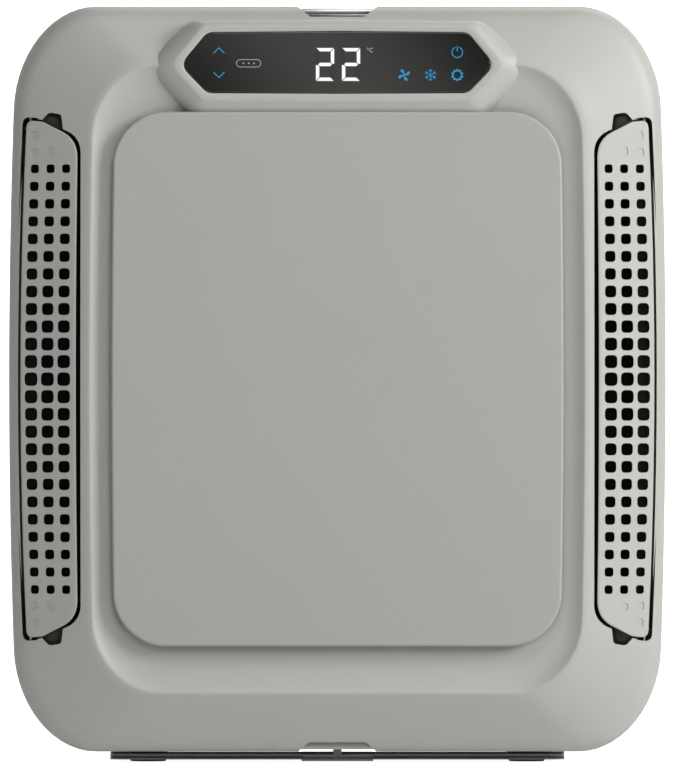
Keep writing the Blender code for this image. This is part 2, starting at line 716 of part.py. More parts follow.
def feet_and_screws():
    for level, y in (("front", -32), ("rear", 104)):
        for side, x in (("left", -130), ("right", 130)):
            rod(f"rubber_foot_{level}_{side}", "rubber", (x, y, 5.8), 12.5, 11.6, "Z", 20, second=11)
    for level, z in (("upper", 470), ("lower", 275)):
        for side, x in (("left", -188), ("right", 188)):
            rod(f"casing_screw_{level}_{side}", "steel", (x, REAR_Y + 1.8, z), 4.2, 2.8, "Y", 14, 0.7)


front_shell()
rear_casing()
front_panel()
air_filter()
display()
for grille_side in ("left", "right"):
    outlet_grille(grille_side)
    outlet_duct(grille_side)
evaporator_side()
condenser_side()
pipework()
power_inlet()
handles()
feet_and_screws()
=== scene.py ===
"""Portable air conditioner: the fine surface over the CAD frame, its materials and a plain studio."""

import json
import math

import bpy
from mathutils import Matrix, Vector

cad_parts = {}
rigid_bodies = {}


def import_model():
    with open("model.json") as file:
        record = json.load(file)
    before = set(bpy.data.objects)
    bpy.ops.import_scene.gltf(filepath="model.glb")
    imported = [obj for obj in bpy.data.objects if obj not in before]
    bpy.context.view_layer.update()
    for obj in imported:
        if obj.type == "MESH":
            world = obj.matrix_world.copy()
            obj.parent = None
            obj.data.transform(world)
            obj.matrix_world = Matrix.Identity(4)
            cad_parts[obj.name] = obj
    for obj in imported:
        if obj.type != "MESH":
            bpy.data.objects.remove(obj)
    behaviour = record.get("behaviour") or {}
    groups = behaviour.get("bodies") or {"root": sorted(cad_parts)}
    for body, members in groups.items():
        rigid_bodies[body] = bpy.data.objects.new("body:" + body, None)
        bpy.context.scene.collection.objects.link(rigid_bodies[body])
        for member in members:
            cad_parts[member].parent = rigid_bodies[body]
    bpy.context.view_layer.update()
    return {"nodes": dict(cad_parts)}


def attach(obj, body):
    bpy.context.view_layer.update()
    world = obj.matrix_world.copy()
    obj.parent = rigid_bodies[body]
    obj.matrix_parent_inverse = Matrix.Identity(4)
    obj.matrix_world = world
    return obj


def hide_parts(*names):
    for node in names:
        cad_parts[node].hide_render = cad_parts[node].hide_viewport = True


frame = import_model()

# Nothing of Blender's start-up scene stays.
for old in list(bpy.data.objects):
    if old.type in ("LIGHT", "CAMERA") or old.name == "Cube":
        bpy.data.objects.remove(old, do_unlink=True)


# ---------------------------------------------------------------- front shell
# The moulded front half, in warm light-grey ABS with a fine satin texture: a rounded rim, a sloping band up
# to a crease, then a shallow dish behind the panel. Two notches show the grips, two tall openings take the
# grilles, and a finger pocket above and below each grille lets it be opened. Sizes are in millimetres.
MM = 0.001
SHELL_Z = 262.5
SHELL_HALF_W, SHELL_HALF_H = 224.3, 254.4
WALL = 2.6
OPENING_HALF_H = 176.2
GRILLE_EDGE_X, GRILLE_EDGE_Y = 216.8, -120.1
SLOPE = math.atan2(16.0, 38.5)
BEFORE_FRONT = -160


def select_only(*objects):
    bpy.ops.object.select_all(action="DESELECT")
    for each in objects:
        each.select_set(True)
    bpy.context.view_layer.objects.active = objects[0]


def edit(made, *steps):
    """Runs edit-mode steps on everything in one mesh."""
    select_only(made)
    bpy.ops.object.mode_set(mode="EDIT")
    bpy.ops.mesh.select_all(action="SELECT")
    for step in steps:
        step()
    bpy.ops.object.mode_set(mode="OBJECT")
    return made


def outwards():
    bpy.ops.mesh.select_all(action="SELECT")
    bpy.ops.mesh.normals_make_consistent(inside=False)


def wrap(name, loops, caps=False):
    """Lays a grid primitive over a stack of equal closed outlines of (x, y, z) points in millimetres."""
    around = len(loops[0])
    bpy.ops.object.select_all(action="DESELECT")
    bpy.ops.mesh.primitive_grid_add(x_subdivisions=around, y_subdivisions=len(loops) - 1, size=1)
    made = bpy.context.object
    made.name = made.data.name = name
    places = [c * MM for loop in loops for point in (*loop, loop[0]) for c in point]
    made.data.vertices.foreach_set("co", places)

    def weld():
        bpy.ops.mesh.remove_doubles(threshold=1e-6)

    def close():
        bpy.ops.mesh.select_all(action="DESELECT")
        bpy.ops.mesh.select_non_manifold()
        bpy.ops.mesh.fill_holes(sides=0)

    return edit(made, weld, *([close] if caps else []), outwards)


def solid(name, points, way):
    """A flat closed outline of (x, y, z) points in millimetres, extruded along a vector."""
    bpy.ops.object.select_all(action="DESELECT")
    bpy.ops.mesh.primitive_circle_add(vertices=len(points), radius=1, fill_type="NGON")
    made = bpy.context.object
    made.name = made.data.name = name
    made.data.vertices.foreach_set("co", [c * MM for point in points for c in point])

    def extrude():
        bpy.ops.mesh.extrude_region_move(TRANSFORM_OT_translate={"value": Vector(way) * MM})

    return edit(made, extrude, outwards)


def upright(outline, y):
    return [(x, y, z) for x, z in outline]


def rounded(corners, radius, steps=5):
    """A polygon of (x, z) corners, each turned into an arc. A third number is that corner's own radius."""
    points = []
    for i, corner in enumerate(corners):
        here, before, after = (Vector(corners[k][:2]) for k in (i, i - 1, (i + 1) % len(corners)))
        back, on = (before - here).normalized(), (after - here).normalized()
        half = back.angle(on) / 2
        own = corner[2] if len(corner) > 2 else radius
        reach = min(own / math.tan(half), (before - here).length * 0.6, (after - here).length * 0.6)
        start, end = here + back * reach, here + on * reach
        for step in range(steps + 1):
            t = step / steps
            straight = (1 - t) ** 2 * start + 2 * t * (1 - t) * here + t * t * end
            points.append(tuple(straight))
    return points


def frame_outline(half_w, half_h, corner_x, corner_z, bulge, middle_z, arc=14, side=7):
    """A rectangle with elliptical corners and upright sides that bow outwards."""
    quarter = [(half_w, (half_h - corner_z) * step / side) for step in range(side)]
    for step in range(arc + 1):
        angle = math.pi / 2 * step / arc
        turned_x, turned_z = corner_x * math.cos(angle), corner_z * math.sin(angle)
        quarter.append((half_w - corner_x + turned_x, half_h - corner_z + turned_z))
    quarter += [((half_w - corner_x) * (1 - step / side), half_h) for step in range(1, side)]
    points = []
    for sign_x, sign_z, backwards in ((1, 1, False), (-1, 1, True), (-1, -1, False), (1, -1, True)):
        run = [(sign_x * x, sign_z * z) for x, z in quarter]
        if backwards:
            run = [(0.0, sign_z * half_h)] + run[:0:-1]
        points += run
    shaped = []
    for x, z in points:
        shaped.append((x - bulge * (x / half_w) * (z / half_h) ** 2, z + middle_z))
    return shaped


def modified(made, kind, **settings):
    """Adds one modifier and applies it."""
    modifier = made.modifiers.new(kind.lower(), kind)
    for key, value in settings.items():
        setattr(modifier, key, value)
    select_only(made)
    bpy.ops.object.modifier_apply(modifier=modifier.name)
    return made


def cut(made, *cutters):
    for cutter in cutters:
        modified(made, "BOOLEAN", operation="DIFFERENCE", object=cutter, solver="EXACT")
        bpy.data.objects.remove(cutter, do_unlink=True)
    return made


def eased(made, by, segments=2, degrees=60):
    """Rounds the edges that are sharper than an angle."""
    limit = math.radians(degrees)
    return modified(made, "BEVEL", width=by * MM, segments=segments, limit_method="ANGLE", angle_limit=limit)


def joined(first, *others):
    select_only(first, *others)
    bpy.ops.object.join()
    return first


def smooth(made, degrees=32):
    select_only(made)
    bpy.ops.object.shade_smooth_by_angle(angle=math.radians(degrees))
    return made


def grain_group():
    """Fine moulded grain: a colour that wanders slightly, a roughness value and a bumped normal."""
    group = bpy.data.node_groups.new("moulded_grain", "ShaderNodeTree")
    face = group.interface
    face.new_socket("Vector", in_out="INPUT", socket_type="NodeSocketVector")
    face.new_socket("Colour", in_out="INPUT", socket_type="NodeSocketColor")
    for label, value in (("Scale", 900.0), ("Roughness", 0.45), ("Depth", 0.1), ("Wander", 0.03)):
        face.new_socket(label, in_out="INPUT", socket_type="NodeSocketFloat").default_value = value
    face.new_socket("Colour", in_out="OUTPUT", socket_type="NodeSocketColor")
    face.new_socket("Roughness", in_out="OUTPUT", socket_type="NodeSocketFloat")
    face.new_socket("Normal", in_out="OUTPUT", socket_type="NodeSocketVector")
    nodes, wire = group.nodes, group.links.new
    given, out = nodes.new("NodeGroupInput"), nodes.new("NodeGroupOutput")
    fine, broad = nodes.new("ShaderNodeTexNoise"), nodes.new("ShaderNodeTexNoise")
    fine.inputs["Detail"].default_value = 3.0
    broad.inputs["Scale"].default_value = 9.0
    broad.inputs["Detail"].default_value = 2.0
    wire(given.outputs["Vector"], fine.inputs["Vector"])
    wire(given.outputs["Vector"], broad.inputs["Vector"])
    wire(given.outputs["Scale"], fine.inputs["Scale"])
    centred = nodes.new("ShaderNodeMath")
    centred.operation = "SUBTRACT"
    centred.inputs[1].default_value = 0.5
    wire(broad.outputs["Fac"], centred.inputs[0])
    amount = nodes.new("ShaderNodeMath")
    amount.operation = "MULTIPLY_ADD"
    amount.inputs[2].default_value = 1.0
    wire(centred.outputs[0], amount.inputs[0])
    wire(given.outputs["Wander"], amount.inputs[1])
    shade = nodes.new("ShaderNodeVectorMath")
    shade.operation = "SCALE"
    wire(given.outputs["Colour"], shade.inputs[0])
    wire(amount.outputs[0], shade.inputs["Scale"])
    wire(shade.outputs[0], out.inputs["Colour"])
    rough = nodes.new("ShaderNodeMath")
    rough.operation = "MULTIPLY_ADD"
    rough.inputs[1].default_value = 0.12
    wire(centred.outputs[0], rough.inputs[0])
    wire(given.outputs["Roughness"], rough.inputs[2])
    wire(rough.outputs[0], out.inputs["Roughness"])
    bump = nodes.new("ShaderNodeBump")
    bump.inputs["Distance"].default_value = 0.0002
    wire(fine.outputs["Fac"], bump.inputs["Height"])
    wire(given.outputs["Depth"], bump.inputs["Strength"])
    wire(bump.outputs["Normal"], out.inputs["Normal"])
    return group


GRAIN = grain_group()


def material(name, colour, roughness, metallic=0.0, scale=900.0, depth=0.1, wander=0.05, coat=0.0):
    """A Principled material fed by the moulded grain."""
    made = bpy.data.materials.new(name)
    made.use_nodes = True
    nodes, wire = made.node_tree.nodes, made.node_tree.links.new
    shader = nodes["Principled BSDF"]
    place = nodes.new("ShaderNodeTexCoord")
    grain = nodes.new("ShaderNodeGroup")
    grain.name = "grain"
    grain.node_tree = GRAIN
    wire(place.outputs["Object"], grain.inputs["Vector"])
    grain.inputs["Colour"].default_value = (*colour, 1.0)
    grain.inputs["Scale"].default_value = scale
    grain.inputs["Roughness"].default_value = roughness
    grain.inputs["Depth"].default_value = depth
    grain.inputs["Wander"].default_value = wander
    wire(grain.outputs["Colour"], shader.inputs["Base Color"])
    wire(grain.outputs["Roughness"], shader.inputs["Roughness"])
    wire(grain.outputs["Normal"], shader.inputs["Normal"])
    shader.inputs["Metallic"].default_value = metallic
    shader.inputs["Coat Weight"].default_value = coat
    return made


def dress(made, look, body, slot, *nodes):
    """Gives a finished piece its material, hangs it on the body it rides on and hides the CAD parts it stands
    for.
    """
    made.data.materials.clear()
    made.data.materials.append(look)
    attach(made, body)
    if nodes:
        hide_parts(*nodes)
    return made


def bow(x, z):
    """How far a grille and its opening draw in away from the middle height: most at the outer edge."""
    share = max(0.0, (x - 175.0) / 41.0) ** 0.4
    return 4.3 * share * ((z - SHELL_Z) / 176.0) ** 2


def grille_outline(grow):
    """The right-hand outlet as a (x, z) outline, larger by grow all round, with its soft corners."""
    inner, outer, top = 177.9 - grow * 1.8, 215.9 + grow * 1.25, 176.8 + grow
    upper = [(outer, top - 0.3, 5), (outer - 11.5, top - 1.4, 8), (inner, top - 14, 20)]
    corners = [(x, SHELL_Z + z, r) for x, z, r in upper]
    corners += [(x, SHELL_Z - z, r) for x, z, r in upper[::-1]]
    points = rounded(corners, 5.0, 10)
    last, made = points[-1], []
    for point in points:
        if abs(point[1] - last[1]) > 100:
            for step in range(1, 12):
                share = step / 12
                across, up = (point[0] - last[0]) * share, (point[1] - last[1]) * share
                made.append((last[0] + across, last[1] + up))
        made.append(point)
        last = point
    return [(x - bow(x, z), z) for x, z in made]



def both_sides(outline):
    return (outline, [(-x, z) for x, z in outline[::-1]])


def front_shell():
    # Corner width, corner height and bow of the sides, at the rim, at the crease and in the dish.
    outer, ridge, dish = (54.7, 70.0, 6.0), (46.0, 50.0, 3.0), (38.0, 40.0, 2.0)
    # Distance in from the side, distance in from the top, and place from front to back.
    rim = [(10, 15, -60.2), (0, 0, -60.2), (0, 0, -82), (0, 0, -104), (0.25, 0.25, -108), (0.9, 0.85, -111.8)]
    rim += [(2.0, 1.85, -115), (3.6, 3.3, -117.9), (5.8, 5.3, -120.3), (8.6, 7.8, -122.2), (12, 10.2, -123.8)]
    band = [(22, 17.1, -128.0), (34, 25.4, -132.9), (46, 33.7, -137.6), (52, 37.8, -139.95)]
    crease = [(54.9, 39.95, -140.95), (55.5, 40.4, -141.0), (56.1, 41.0, -140.85), (56.8, 41.7, -140.4)]
    bowl = [(58.6, 43.7, -139.2), (60.8, 46.6, -138.0), (63.6, 50.4, -136.9), (67.2, 55.4, -136.1)]
    bowl += [(71, 61, -135.6), (78, 71, -134.3), (97, 98, -130.4)]
    parts = ((rim, outer, outer), (band, outer, ridge), (crease, ridge, ridge), (bowl, ridge, dish))
    rows = []
    for part, first, last in parts:
        for i, (inset_w, inset_h, y) in enumerate(part):
            share = (i + 1) / len(part)
            shape = [a + (b - a) * share for a, b in zip(first, last)]
            rows.append((SHELL_HALF_W - inset_w, SHELL_HALF_H - inset_h, y, *shape))
    inside = []
    for i, row in enumerate(rows):
        before, after = rows[max(i - 1, 0)], rows[min(i + 1, len(rows) - 1)]
        run = Vector((after[0] - before[0], after[2] - before[2])).normalized() * WALL
        inside.append((row[0] + run.y, row[1] + run.y, row[2] - run.x, *row[3:]))
    loops = []
    for half_w, half_h, y, corner_x, corner_z, bulge in rows + inside[::-1] + rows[:1]:
        loops.append(upright(frame_outline(half_w, half_h, corner_x, corner_z, bulge, SHELL_Z), y))
    shell = wrap("front_shell_moulding", loops)

    top = rounded([(32.4, 521), (18.4, 509.6, 4), (-18.4, 509.6, 4), (-32.4, 521)], 1.5)
    low = rounded([(33.6, 2), (19.4, 14.8, 4), (-19.4, 14.8, 4), (-33.6, 2)], 1.5)
    for name, outline in (("top_notch", top), ("low_notch", low)):
        cut(shell, solid(name, upright(outline, BEFORE_FRONT), (0, 105, 0)))
    for side, outline in enumerate(both_sides(grille_outline(1.6))):
        cut(shell, solid(f"outlet_cut_{side}", upright(outline, BEFORE_FRONT), (0, 60, 0)))
    # Behind the face, the opening is wider where the outer edge of a grille swings under it.
    relief = [(max(x, 199.0), z) for x, z in grille_outline(2.5)]
    for side, outline in enumerate(both_sides(relief)):
        face_y = GRILLE_EDGE_Y - 0.5
        points = [(x, face_y - (GRILLE_EDGE_X - abs(x)) * math.tan(SLOPE), z) for x, z in outline]
        cut(shell, solid(f"outlet_relief_{side}", points, (0, 9, 0)))
    for way in (1, -1):
        edge = SHELL_Z + way * OPENING_HALF_H
        corners = [(204, edge - 7 * way), (202.2, edge - 0.5 * way), (196.6, edge + 5.6 * way, 4)]
        corners += [(188.2, edge + 4.2 * way), (186.2, edge - 12 * way)]
        pocket = rounded(corners, 2.6)
        for side, outline in enumerate(both_sides(pocket)):
            cut(shell, solid(f"pocket_cut_{side}", upright(outline, BEFORE_FRONT), (0, 60, 0)))
    ledge = [(-115.3, 15.2), (-116.6, 10.4), (-116.0, 9.8), (-60.5, 9.8), (-60.5, 17.0), (-113.0, 17.0)]
    shelf = [(-114.5, 509.2), (-61, 509.2), (-61, 506.6), (-112, 506.6)]
    for name, side_view, half in (("notch_ledge", ledge, 30.0), ("notch_shelf", shelf, 33.0)):
        shell = joined(shell, solid(name, [(-half, y, z) for y, z in side_view], (2 * half, 0, 0)))
    return smooth(shell, 28)


SHELL_LOOK = material("shell_plastic", (0.42, 0.42, 0.394), 0.46, depth=0.10, wander=0.03)
dress(front_shell(), SHELL_LOOK, "casing", "shell", "front_shell")


# ---------------------------------------------------------------- display housing
# The raised six-sided surround of the display, moulded like the shell: a flat lip round the glass, then
# flanks that run down to the sloping band and the dish. Screwed to the shell from inside.
LENS_Z = 478.0


def hexagon(grow, grow_top=None, grow_tip=None, radius=7.0):
    """The display's six-sided outline, its tips a little below mid height, larger by grow all round."""
    tip = 106.8 + (grow * 1.3 if grow_tip is None else grow_tip)
    flat = 88.5 + grow * 0.55
    high = 21.0 + (grow if grow_top is None else grow_top)
    low = -21.0 - grow
    corners = [(tip, -1.8), (flat, high - 0.8), (0, high), (-flat, high - 0.8), (-tip, -1.8)]
    corners += [(-flat, low + 0.4), (0, low), (flat, low + 0.4)]
    return [(x, z + LENS_Z) for x, z in rounded(corners, radius, 6)]


def display_housing():
    # Growth all round, at the top and at the tips, then place from front to back, and corner radius.
    lip = [(0.3, 0.3, 0.4, -143.0, 9), (0.3, 0.3, 0.4, -145.3, 9), (0.55, 0.55, 0.7, -145.75, 9)]
    lip += [(1.0, 1.0, 1.3, -145.95, 9.5), (4.8, 4.6, 6.6, -145.95, 10), (5.6, 5.2, 7.6, -145.75, 10)]
    flank = [(6.2, 5.6, 8.4, -145.3, 8), (8.6, 6.4, 11.4, -144.3, 9), (11.4, 7.1, 15.0, -142.8, 10)]
    flank += [(14.4, 7.8, 19.0, -140.6, 12), (17.4, 8.3, 23.5, -137.2, 14), (19.6, 8.6, 27.5, -131.5, 16)]
    base = [(20.4, 8.6, 29.0, -117.5, 16), (12, 5, 14, -117.5, 12)]
    loops = []
    for grow, top, tip, y, radius in lip + flank + base + lip[:1]:
        loops.append(upright(hexagon(grow, top, tip, radius), y))
    return smooth(wrap("display_surround", loops), 30)


dress(display_housing(), SHELL_LOOK, "casing", "shell", "display_housing")


# ---------------------------------------------------------------- display glass
# A black acrylic lens, hard coated and glossy, pressed into the surround with a hair-line step all round.
def display_glass():
    rows = [(-0.1, -143.8), (-0.1, -145.35), (-0.3, -145.62), (-0.7, -145.68), (-0.9, -145.68)]
    loops = [upright(hexagon(grow, radius=9.0), y) for grow, y in rows]
    return smooth(wrap("display_lens", loops, caps=True), 40)


def shaded(made, mask):
    """Multiplies a material's own colour by a mask."""
    nodes, wire = made.node_tree.nodes, made.node_tree.links.new
    shade = nodes.new("ShaderNodeVectorMath")
    shade.operation = "SCALE"
    wire(nodes["grain"].outputs["Colour"], shade.inputs[0])
    wire(mask, shade.inputs["Scale"])
    wire(shade.outputs[0], nodes["Principled BSDF"].inputs["Base Color"])
    return made


def glass_look():
    """Black acrylic with a painted reflection: slightly paler in a broad slanting stripe over the middle."""
    made = material("display_acrylic", (0.014, 0.014, 0.013), 0.09, depth=0.0, wander=0.2)
    nodes, wire = made.node_tree.nodes, made.node_tree.links.new
    place, turn = nodes.new("ShaderNodeTexCoord"), nodes.new("ShaderNodeMapping")
    turn.inputs["Rotation"].default_value = (0.0, math.radians(38), 0.0)
    turn.inputs["Location"].default_value = (-0.29, 0.0, 0.0)
    # The paler stripe is a painted reflection of a softbox in the glossy lens.
    reflection_stripe = nodes.new("ShaderNodeTexGradient")
    reflection_stripe.gradient_type = "SPHERICAL"
    spread = nodes.new("ShaderNodeVectorMath")
    spread.operation = "MULTIPLY"
    spread.inputs[1].default_value = (9.0, 0.0, 0.0)
    wire(place.outputs["Object"], turn.inputs["Vector"])
    wire(turn.outputs["Vector"], spread.inputs[0])
    wire(spread.outputs[0], reflection_stripe.inputs["Vector"])
    level = nodes.new("ShaderNodeMapRange")
    level.inputs["To Min"].default_value = 0.3
    level.inputs["To Max"].default_value = 3.6
    level.interpolation_type = "SMOOTHSTEP"
    wire(reflection_stripe.outputs["Fac"], level.inputs["Value"])
    return shaded(made, level.outputs["Result"])


dress(display_glass(), glass_look(), "casing", "display_glass", "display_glass")


# ---------------------------------------------------------------- display symbols
# Printed windows in the lens with light-emitting diodes behind them: white digits, blue keys and modes.
# Each is a thin raised inlay on the face of the lens.
SYMBOL_Y, INLAY = -145.69, 0.12


def stroke(points, width, closed=False):
    """The outline of a line of even width through (x, z) points."""
    left, right, count = [], [], len(points)
    for i, point in enumerate(points):
        here = Vector(point)
        before = Vector(points[i - 1]) if (i or closed) else here
        after = Vector(points[(i + 1) % count]) if (i < count - 1 or closed) else here
        first, second = (here - before), (after - here)
        first = second if first.length < 1e-9 else first
        second = first if second.length < 1e-9 else second
        normal = (first.normalized() + second.normalized()).normalized()
        normal = Vector((-normal.y, normal.x))
        reach = width / 2 / max(0.4, normal.dot(Vector((-first.y, first.x)).normalized()))
        left.append(tuple(here + normal * reach))
        right.append(tuple(here - normal * reach))
    return left, right


def inlay(name, shapes):
    """Thin plates on the lens. A shape is a closed outline, or a pair of outlines for a ring."""
    pieces = []
    for number, shape in enumerate(shapes):
        label = f"{name}_{number}"
        if isinstance(shape, tuple):
            first, second = shape
            front = SYMBOL_Y - INLAY
            loops = [upright(first, SYMBOL_Y), upright(first, front), upright(second, front)]
            pieces.append(wrap(label, loops + [upright(second, SYMBOL_Y), loops[0]]))
        else:
            pieces.append(solid(label, upright(shape, SYMBOL_Y), (0, -INLAY, 0)))
    made = joined(*pieces)
    made.name = made.data.name = name
    return made


def line(points, width):
    left, right = stroke(points, width)
    return left + right[::-1]


def circle(x, z, radius, steps=28, start=0.0, sweep=360.0):
    full = sweep >= 360
    count = steps if full else steps + 1
    made = []
    for step in range(count):
        angle = math.radians(start + sweep * step / steps)
        made.append((x + radius * math.cos(angle), z + radius * math.sin(angle)))
    return made


def lit(name, colour, strength):
    """An emitting inlay, a little uneven along each stroke as a light guide is."""
    made = material(name, tuple(c * 0.15 for c in colour), 0.4, depth=0.02)
    nodes, wire = made.node_tree.nodes, made.node_tree.links.new
    patch, level = nodes.new("ShaderNodeTexNoise"), nodes.new("ShaderNodeMapRange")
    patch.inputs["Scale"].default_value = 260.0
    level.inputs["To Min"].default_value = strength * 0.85
    level.inputs["To Max"].default_value = strength * 1.1
    wire(nodes["Texture Coordinate"].outputs["Object"], patch.inputs["Vector"])
    wire(patch.outputs["Fac"], level.inputs["Value"])
    shader = nodes["Principled BSDF"]
    shader.inputs["Emission Color"].default_value = (*colour, 1.0)
    wire(level.outputs["Result"], shader.inputs["Emission Strength"])
    return made


WHITE_LIT = lit("symbol_white", (0.93, 0.95, 0.97), 0.92)
GREY_LIT = lit("symbol_grey", (0.55, 0.55, 0.53), 0.75)
BLUE_LIT = lit("symbol_blue", (0.015, 0.28, 0.56), 0.95)
# The unlit segments are given a faint glow: painted light, so that they show dimly in the black lens.
UNLIT = lit("symbol_unlit", (0.06, 0.06, 0.06), 0.2)


def digit(x, lit_ones):
    """Seven mitred segments. Returns the lit outlines and the unlit ones."""
    left, right, top, low = x - 6.2, x + 6.2, LENS_Z + 9.8, LENS_Z - 12.6
    wide, gap = 2.3, 0.35
    middle = (top + low) / 2
    half = wide / 2

    def flat(z, upper, lower):
        ends = [(left + gap, z + upper), (right - gap, z + upper)]
        return ends + [(right - wide - gap, z + lower), (left + wide + gap, z + lower)]

    def tall(side, inner, z0, z1):
        cap0, cap1 = (half if z0 == middle else wide), (half if z1 == middle else wide)
        mid = (side + inner) / 2
        if z0 == middle:
            ends = [(side, z0 + gap + 0.2), (mid, z0 + gap), (inner, z0 + cap0 + gap)]
        else:
            ends = [(side, z0 + gap), (inner, z0 + cap0 + gap)]
        if z1 == middle:
            return ends + [(inner, z1 - cap1 - gap), (mid, z1 - gap), (side, z1 - gap - 0.2)]
        return ends + [(inner, z1 - cap1 - gap), (side, z1 - gap)]

    start, end = left + wide + gap, right - wide - gap
    bar = [(left + half + gap, middle), (start, middle + half), (end, middle + half)]
    bar += [(right - half - gap, middle), (end, middle - half), (start, middle - half)]
    segments = {
        "a": flat(top, 0, -wide),
        "b": tall(right, right - wide, middle, top),
        "c": tall(right, right - wide, low, middle),
        "d": flat(low, 0, wide),
        "e": tall(left, left + wide, low, middle),
        "f": tall(left, left + wide, middle, top),
        "g": bar,
    }
    return [segments[s] for s in lit_ones], [s for key, s in segments.items() if key not in lit_ones]


def degree_sign():
    x, z = 20.6, LENS_Z + 8.4
    arc = circle(x + 2.7, z, 1.35, 14, 55, 250)
    return [(circle(x, z + 1.0, 0.65, 16), circle(x, z + 1.0, 0.4, 16)), line(arc, 0.36)]


def chevron(x, z, way):
    return line([(x - 3.7, z - 1.9 * way), (x, z + 1.7 * way), (x + 3.7, z - 1.9 * way)], 0.55)


def pill(x, z):
    def lozenge(half_w, half_h):
        right = circle(x + half_w - half_h, z, half_h, 10, -90, 180)
        return right + circle(x - half_w + half_h, z, half_h, 10, 90, 180)

    dots = [circle(x + 3.6 * side, z, 0.5, 14) for side in (-1, 0, 1)]
    return [(lozenge(8.4, 2.7), lozenge(8.05, 2.35)), *dots]


def power_symbol(x, z):
    return [line(circle(x, z - 0.3, 3.6, 30, 112, 316), 0.6), line([(x, z + 0.2), (x, z + 4.0)], 0.6)]


def swung(points, degrees, x, z):
    """Points turned about the origin, then moved to (x, z)."""
    turned = Matrix.Rotation(math.radians(degrees), 2)
    return [tuple(turned @ Vector(point) + Vector((x, z))) for point in points]


def fan_symbol(x, z):
    petal = [(0.5, 0.8), (0.9, 2.2), (0.4, 4.0), (-0.9, 4.3), (-1.5, 3.5), (-0.6, 2.2), (-0.3, 1.0)]
    petals = [swung(rounded(petal, 0.6, 3), 90 * quarter + 20, x, z) for quarter in range(4)]
    return [circle(x, z, 0.8, 16), *petals]


def snow_symbol(x, z):
    made = []
    for arm in range(6):
        for points in ([(0, 0.35), (0, 4.0)], [(-1.1, 3.5), (0, 2.5), (1.1, 3.5)]):
            made.append(line(swung(points, 60 * arm, x, z), 0.5))
    return made


def sun_symbol(x, z):
    rays = [line(swung([(0, 3.3), (0, 4.1)], 36 * ray, x, z), 1.1) for ray in range(10)]
    return [(circle(x, z, 3.4, 36), circle(x, z, 2.55, 36)), *rays]


def display_symbols():
    first_lit, first_off = digit(-8.4, "abged")
    second_lit, second_off = digit(9.3, "abged")
    low = LENS_Z - 8.6
    white = inlay("symbols_white", first_lit + second_lit)
    grey = inlay("symbols_grey", pill(-60.4, LENS_Z - 0.6) + degree_sign())
    keys = [chevron(-80.6, LENS_Z + 8.2, 1), chevron(-80.6, low, -1), *power_symbol(81.6, LENS_Z + 7.2)]
    keys += [*fan_symbol(45.4, low), *snow_symbol(63.4, low), *sun_symbol(81.6, low)]
    blue = inlay("symbols_blue", keys)
    unlit = inlay("symbols_unlit", first_off + second_off)
    for made, look in ((white, WHITE_LIT), (grey, GREY_LIT), (blue, BLUE_LIT), (unlit, UNLIT)):
        dress(made, look, "casing", "display_glass")


display_symbols()


# ---------------------------------------------------------------- front panel
# A plain moulded cover that snaps on in front of the dish with an even gap all round, its edge softened.
# Same warm grey in a slightly finer satin. The four hidden posts behind it plug into the shell.
PANEL_BACK = -139.05


def front_panel():
    rows = [(1.5, PANEL_BACK), (0, PANEL_BACK), (0, -142.9), (0.15, -143.9), (0.55, -144.6), (1.2, -144.95)]
    rows += [(1.9, -145.0), (2.6, -145.0)]
    loops = []
    for inset, y in rows:
        outline = frame_outline(154 - inset, 182 - inset, 36 - inset, 36 - inset, 1.8, SHELL_Z, 16, 8)
        loops.append(upright(outline, y))
    panel = wrap("front_cover", loops, caps=True)
    posts = []
    for side in (-1, 1):
        for level in (-1, 1):
            post = upright(circle(side * 105, SHELL_Z + level * 130, 5, 32), PANEL_BACK)
            posts.append(solid(f"cover_post_{side}_{level}", post, (0, 14.4, 0)))
    return smooth(joined(panel, *posts), 32)


PANEL_LOOK = material("panel_plastic", (0.365, 0.365, 0.344), 0.5, scale=1100.0, depth=0.07, wander=0.02)
dress(front_panel(), PANEL_LOOK, "panel", "panel", "front_panel")


# ---------------------------------------------------------------- outlet grilles
# Punched plates, 2.6 mm thick, with three columns of rounded square holes that grow towards the middle height
# and blind dimples where the pattern runs out. Each turns on two pins near its outer edge, so that the space
# behind it can be cleaned.
def oblong(left, low, right, high):
    return [(left, low), (right, low), (right, high), (left, high)]


def rounded_square(x, z, wide, high):
    corners = oblong(x - wide / 2, z - high / 2, x + wide / 2, z + high / 2)
    return rounded(corners, min(wide, high) * 0.36, 4)


